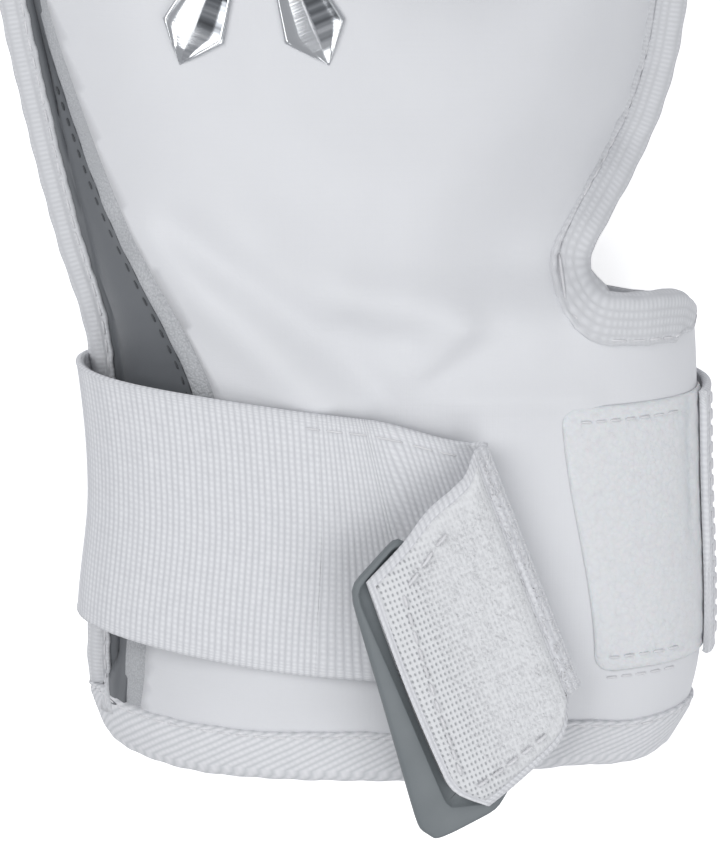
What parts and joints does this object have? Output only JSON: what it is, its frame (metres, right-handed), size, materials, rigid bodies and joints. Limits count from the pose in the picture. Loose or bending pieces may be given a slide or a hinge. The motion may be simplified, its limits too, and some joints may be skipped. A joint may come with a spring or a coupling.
{
  "type": "padded sliding mitt",
  "caption": "Padded left-hand mitt with separate thumb, soft cuff and an elastic wrist strap whose hook end is folded back.",
  "frame": {"origin": "on the flat palm face, in the middle of the hand", "axes": "+X to the thumb side, +Y to the fingertips, +Z out of the back of the hand"},
  "size_m": [0.1437, 0.2897, 0.0673],
  "materials": {
    "shell_knit": "smooth white coated knit laminated to foam",
    "foam": "raw light-grey foam, speckled",
    "insert_plate": "moulded impact plate",
    "lining": "grey tricot",
    "palm_leather": "white synthetic leather",
    "gusset_fabric": "smooth grey coated stretch fabric",
    "binding_tape": "white woven twill tape",
    "elastic": "white woven ribbed elastic",
    "hook_tape": "nylon hook fastener",
    "loop_tape": "napped nylon loop fastener",
    "pull_tab_rubber": "moulded soft grey rubber",
    "stitch_thread": "polyester thread",
    "dark_thread": "polyester thread",
    "emblem_film": "raised silvered film"
  },
  "bodies": {
    "hand": {"palm_shell": "palm_leather", "palm_foam_pad": "foam", "palm_insert_plate": "insert_plate", "palm_lining": "lining", "back_shell": "shell_knit", "back_foam_pad": "foam", "back_insert_plate": "insert_plate", "back_lining": "lining", "side_gusset": "gusset_fabric", "gusset_stitching": "dark_thread", "edge_binding": "binding_tape", "emblem": "emblem_film"},
    "cuff": {"cuff_back_panel": "shell_knit", "cuff_foam_edge": "foam", "cuff_palm_panel": "palm_leather", "cuff_lining": "lining", "cuff_gusset": "gusset_fabric", "hem_binding": "binding_tape", "notch_lip_binding": "binding_tape", "loop_patch": "loop_tape", "loop_patch_stitching": "stitch_thread", "strap_back_run": "elastic", "strap_root_stitching": "stitch_thread", "wrist_back_flex_panel": "shell_knit", "wrist_palm_flex_panel": "palm_leather"},
    "strap": {"strap_front_run": "elastic", "strap_fold_bend": "elastic"},
    "strap_end": {"strap_end": "elastic", "hook_patch": "hook_tape", "hook_patch_stitching": "stitch_thread", "pull_tab": "pull_tab_rubber"}
  },
  "joints": [
    {"name": "wrist_flex", "type": "hinge", "parent": "hand", "child": "cuff", "pos_m": [0, -0.052, 0.02], "axis": [-1, 0, 0], "range_deg": [-12, 12], "deforming": ["wrist_back_flex_panel", "wrist_palm_flex_panel"]},
    {"name": "strap_swing", "type": "hinge", "parent": "cuff", "child": "strap", "pos_m": [-0.056, -0.1, 0.0215], "axis": [0, -1, 0], "range_deg": [0, 100]},
    {"name": "strap_fold", "type": "hinge", "parent": "strap", "child": "strap_end", "pos_m": [0.03021, -0.10398, 0.05505], "axis": [-0.3466, 0.9372, 0.0397], "range_deg": [0, 150], "deforming": ["strap_fold_bend"]}
  ]
}
